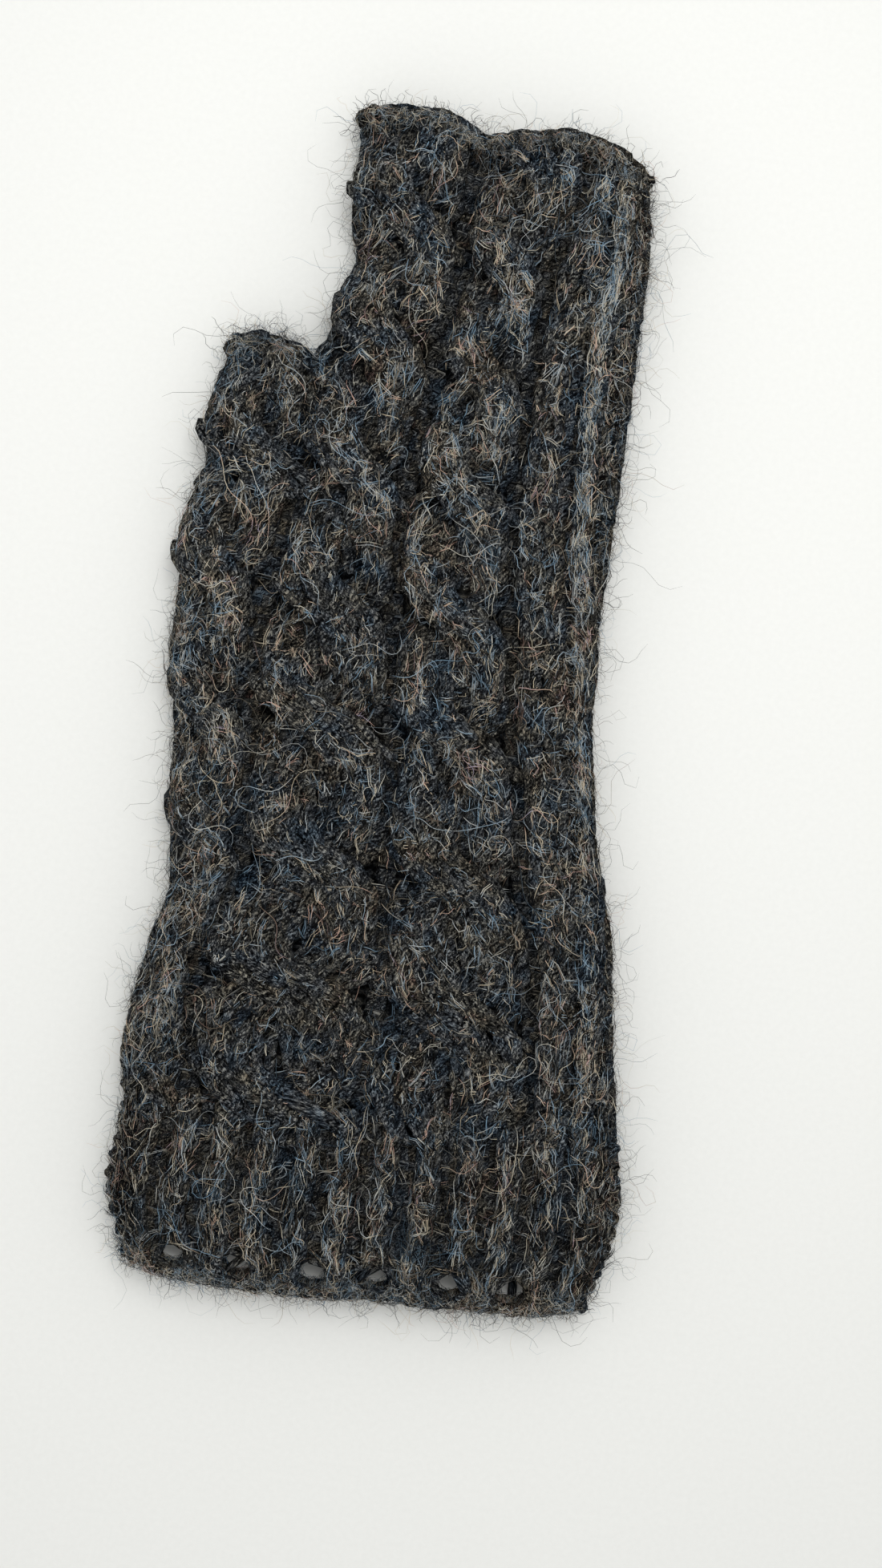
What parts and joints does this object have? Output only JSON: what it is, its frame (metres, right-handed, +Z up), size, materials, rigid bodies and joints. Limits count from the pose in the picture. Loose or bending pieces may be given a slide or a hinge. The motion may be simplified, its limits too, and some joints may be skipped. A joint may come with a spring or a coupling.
{
  "type": "fingerless glove",
  "caption": "Hand-knitted fingerless mitt with a ribbed cuff, cabled back, thumb gusset and short open thumb, lying flat.",
  "frame": {"origin": "centre of the glove's bounding box at the height of the table it lies on", "axes": "+Y from the cuff to the fingers, +X to the right with the thumb on the -X side, +Z up out of the back of the hand"},
  "size_m": [0.097, 0.222, 0.014],
  "materials": {
    "knit_fabric": "fuzzy heathered charcoal wool, knitted, matt",
    "cable_yarn": "fuzzy heathered charcoal wool in crossed cable stitches, matt",
    "edge_yarn": "plied charcoal wool yarn in cast-on and bind-off edges, matt"
  },
  "bodies": {
    "hand": {"lower_hand_tube": "knit_fabric", "palm_tube": "knit_fabric", "upper_palm_tube": "knit_fabric", "left_cable_hand": "cable_yarn", "right_cable_hand": "cable_yarn", "rib_column_hand": "cable_yarn", "thumb_joining_tail": "edge_yarn"},
    "cuff": {"cast_on_edge": "edge_yarn", "ribbed_cuff": "knit_fabric", "wrist_tube": "knit_fabric", "left_cable_wrist": "cable_yarn", "right_cable_wrist": "cable_yarn", "rib_column_wrist": "cable_yarn", "cast_on_tail": "edge_yarn"},
    "fingers": {"finger_tube": "knit_fabric", "hand_bind_off_edge": "edge_yarn", "left_cable_top": "cable_yarn", "right_cable_top": "cable_yarn", "rib_column_top": "cable_yarn", "hand_bind_off_tail": "edge_yarn"},
    "thumb": {"thumb_gusset": "knit_fabric", "thumb_tube": "knit_fabric", "thumb_bind_off_edge": "edge_yarn", "thumb_rib": "cable_yarn", "thumb_bind_off_tail": "edge_yarn"}
  },
  "joints": [
    {"name": "wrist_fold", "type": "hinge", "parent": "hand", "child": "cuff", "pos_m": [0, -0.04, 0.009], "axis": [-1, 0, 0], "range_deg": [0, 75]},
    {"name": "knuckle_fold", "type": "hinge", "parent": "hand", "child": "fingers", "pos_m": [0, 0.079, 0.009], "axis": [1, 0, 0], "range_deg": [0, 75]},
    {"name": "thumb_fold", "type": "hinge", "parent": "hand", "child": "thumb", "pos_m": [-0.037, 0.0305, 0.009], "axis": [0.3297, 0.9441, 0], "range_deg": [0, 75]}
  ]
}
